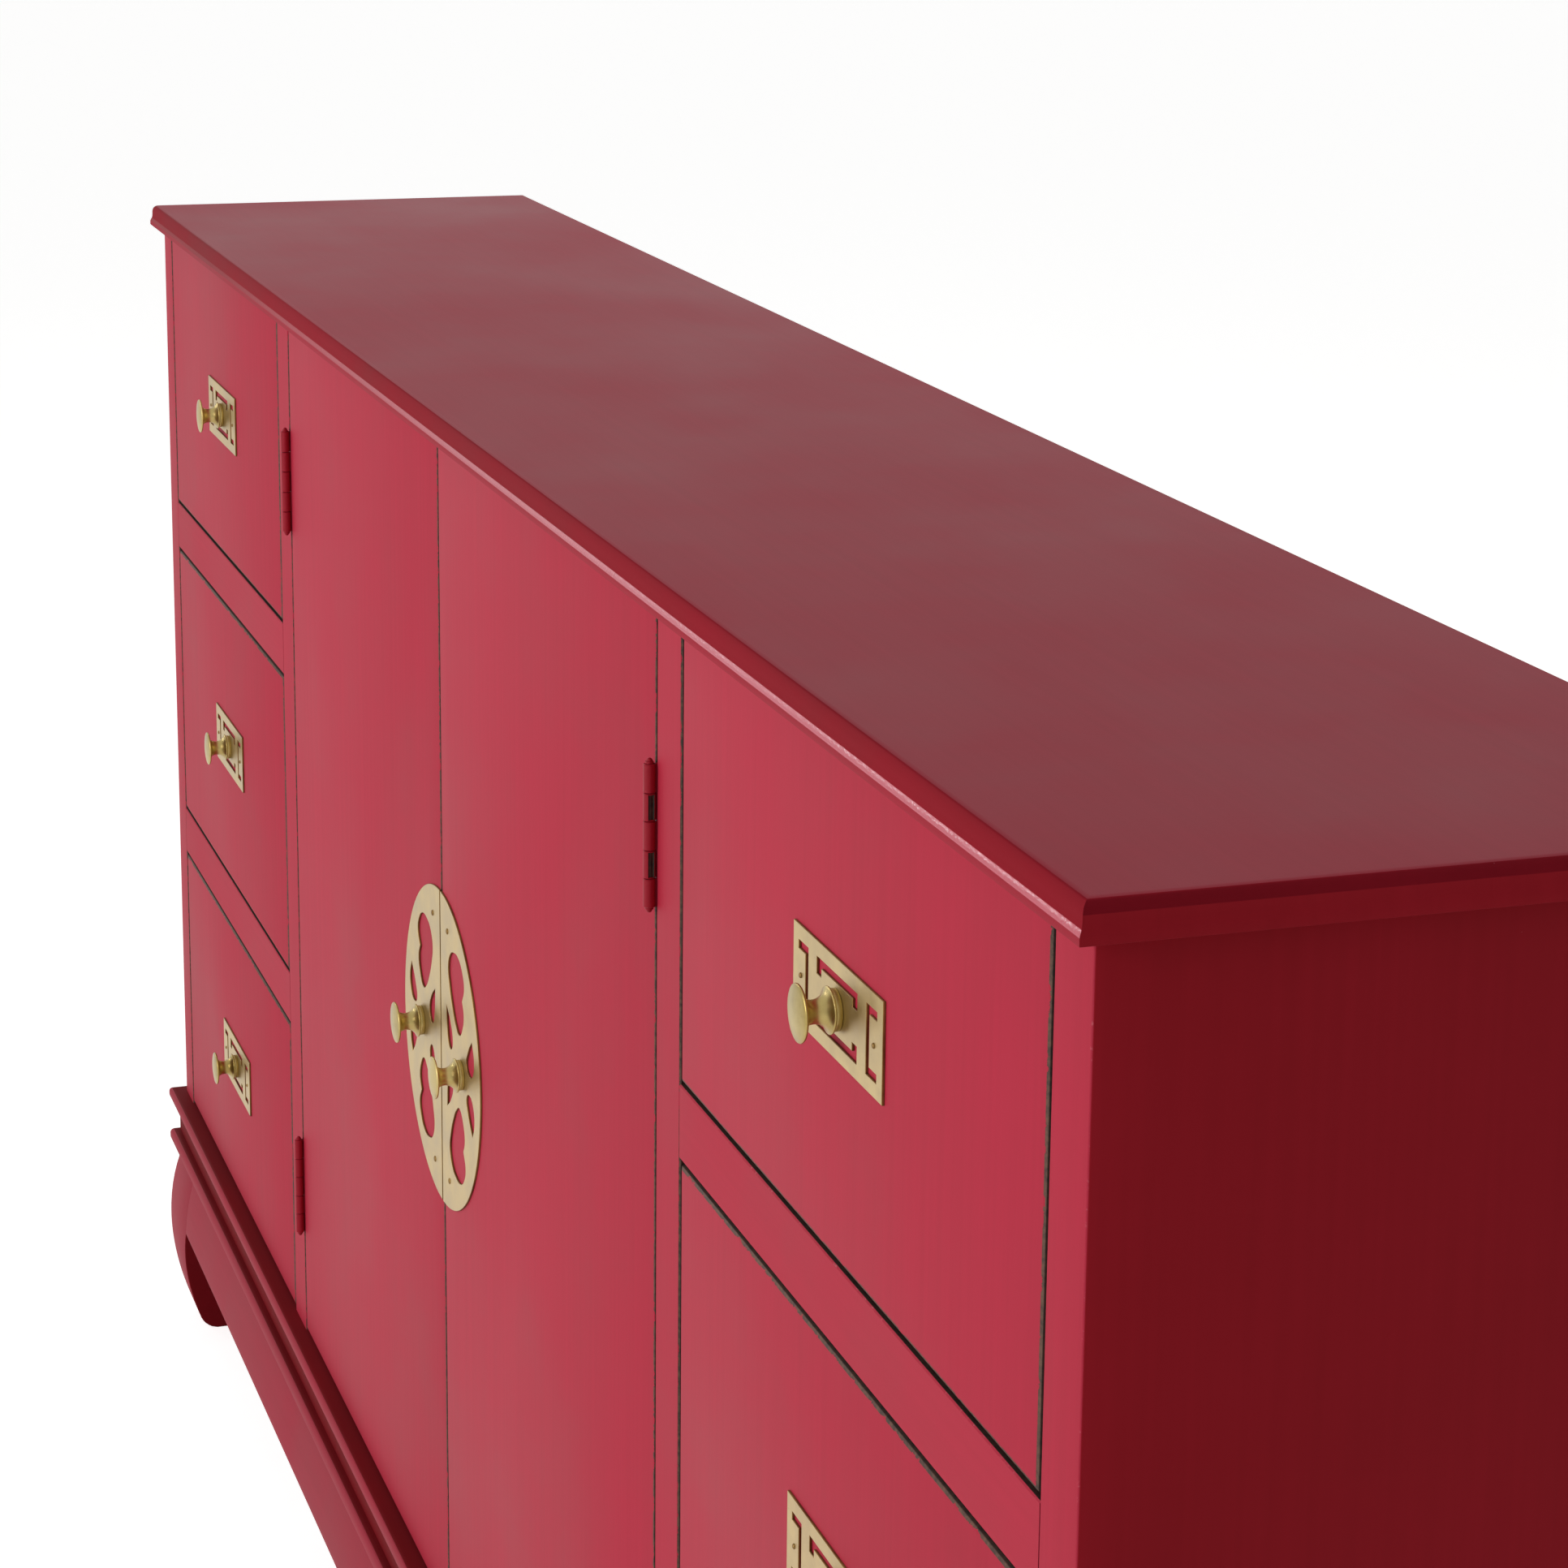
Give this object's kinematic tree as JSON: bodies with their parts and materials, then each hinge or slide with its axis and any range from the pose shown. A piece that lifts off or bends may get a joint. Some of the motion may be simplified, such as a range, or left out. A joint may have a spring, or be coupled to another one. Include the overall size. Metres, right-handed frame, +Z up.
{
  "type": "sideboard",
  "caption": "Long low red lacquered sideboard with a pair of doors between two stacks of drawers, pierced brass plates and knobs, and a stepped base on bracket feet.",
  "frame": {"origin": "on the floor, under the middle of the whole", "axes": "+Z up, +X along the front to the right as one faces it, front towards -Y"},
  "size_m": [1.826, 0.2962, 0.885],
  "materials": {
    "red_lacquer": "smooth red lacquer, satin to gloss",
    "pale_wood": "plain sanded wood",
    "brass": "satin brass sheet and turned knobs",
    "red_metal": "painted over in the lacquer's red"
  },
  "bodies": {
    "carcass": {"top_panel": "red_lacquer", "left_side_panel": "red_lacquer", "right_side_panel": "red_lacquer", "left_end_stile": "red_lacquer", "right_end_stile": "red_lacquer", "left_inner_stile": "red_lacquer", "right_inner_stile": "red_lacquer", "drawer_rails": "red_lacquer", "upper_base_moulding": "red_lacquer", "lower_base_moulding": "red_lacquer", "waist_strips": "red_lacquer", "front_apron": "red_lacquer", "back_apron": "red_lacquer", "left_apron": "red_lacquer", "right_apron": "red_lacquer", "front_left_foot": "red_lacquer", "front_right_foot": "red_lacquer", "back_left_foot": "red_lacquer", "back_right_foot": "red_lacquer", "bottom_panel": "pale_wood", "back_panel": "pale_wood", "left_divider": "pale_wood", "right_divider": "pale_wood", "drawer_runners": "pale_wood", "shelf": "pale_wood", "shelf_cleats": "pale_wood", "hinge_frame_leaves": "red_metal", "hinge_pins": "red_metal"},
    "left_door": {"left_door_panel": "red_lacquer", "left_medallion": "brass", "left_door_knob": "brass", "left_hinge_door_leaves": "red_metal"},
    "right_door": {"right_door_panel": "red_lacquer", "right_medallion": "brass", "right_door_knob": "brass", "right_hinge_door_leaves": "red_metal"},
    "left_lower_drawer": {"left_lower_drawer_front": "red_lacquer", "left_lower_drawer_box": "pale_wood", "left_lower_drawer_plate": "brass", "left_lower_drawer_knob": "brass"},
    "left_middle_drawer": {"left_middle_drawer_front": "red_lacquer", "left_middle_drawer_box": "pale_wood", "left_middle_drawer_plate": "brass", "left_middle_drawer_knob": "brass"},
    "left_upper_drawer": {"left_upper_drawer_front": "red_lacquer", "left_upper_drawer_box": "pale_wood", "left_upper_drawer_plate": "brass", "left_upper_drawer_knob": "brass"},
    "right_lower_drawer": {"right_lower_drawer_front": "red_lacquer", "right_lower_drawer_box": "pale_wood", "right_lower_drawer_plate": "brass", "right_lower_drawer_knob": "brass"},
    "right_middle_drawer": {"right_middle_drawer_front": "red_lacquer", "right_middle_drawer_box": "pale_wood", "right_middle_drawer_plate": "brass", "right_middle_drawer_knob": "brass"},
    "right_upper_drawer": {"right_upper_drawer_front": "red_lacquer", "right_upper_drawer_box": "pale_wood", "right_upper_drawer_plate": "brass", "right_upper_drawer_knob": "brass"}
  },
  "joints": [
    {"name": "left_lower_drawer_slide", "type": "slide", "parent": "carcass", "child": "left_lower_drawer", "axis": [0, -1, 0], "range_m": [0, 0.19]},
    {"name": "left_middle_drawer_slide", "type": "slide", "parent": "carcass", "child": "left_middle_drawer", "axis": [0, -1, 0], "range_m": [0, 0.19]},
    {"name": "left_upper_drawer_slide", "type": "slide", "parent": "carcass", "child": "left_upper_drawer", "axis": [0, -1, 0], "range_m": [0, 0.19]},
    {"name": "right_lower_drawer_slide", "type": "slide", "parent": "carcass", "child": "right_lower_drawer", "axis": [0, -1, 0], "range_m": [0, 0.19]},
    {"name": "right_middle_drawer_slide", "type": "slide", "parent": "carcass", "child": "right_middle_drawer", "axis": [0, -1, 0], "range_m": [0, 0.19]},
    {"name": "right_upper_drawer_slide", "type": "slide", "parent": "carcass", "child": "right_upper_drawer", "axis": [0, -1, 0], "range_m": [0, 0.19]},
    {"name": "left_door_hinge", "type": "hinge", "parent": "carcass", "child": "left_door", "pos_m": [-0.415, -0.13305, 0.527], "axis": [0, 0, -1], "range_deg": [0, 90]},
    {"name": "right_door_hinge", "type": "hinge", "parent": "carcass", "child": "right_door", "pos_m": [0.415, -0.13305, 0.527], "axis": [0, 0, 1], "range_deg": [0, 90]}
  ]
}
